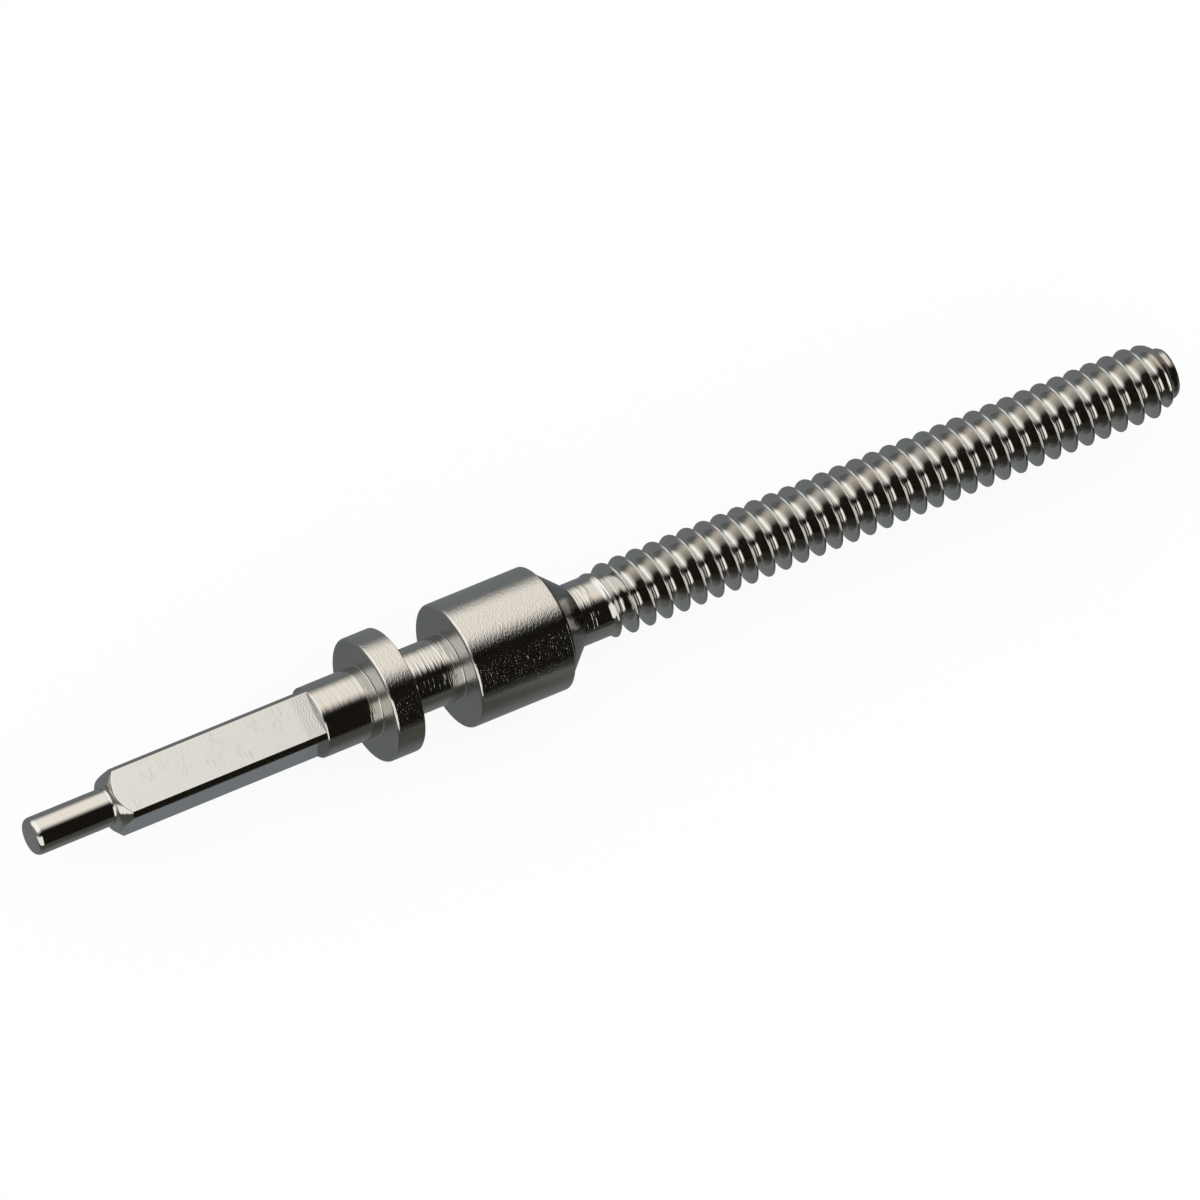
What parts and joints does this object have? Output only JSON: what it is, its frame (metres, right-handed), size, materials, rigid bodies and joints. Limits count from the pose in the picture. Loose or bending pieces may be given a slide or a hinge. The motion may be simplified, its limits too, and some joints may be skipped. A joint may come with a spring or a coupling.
{
  "type": "watch winding stem",
  "caption": "One-piece steel winding stem with a front pilot, a milled square, a flange and hub either side of a setting-lever groove, and a fine thread for the crown.",
  "frame": {"origin": "middle of the hub, on the stem's axis", "axes": "+X along the stem from the front pilot towards the crown thread, +Z square to one flat of the square"},
  "size_m": [0.015, 0.0014, 0.0014],
  "materials": {
    "stem_steel": "turned, milled and rolled hardened steel, bright"
  },
  "bodies": {
    "root": {"stem": "stem_steel"}
  },
  "joints": []
}
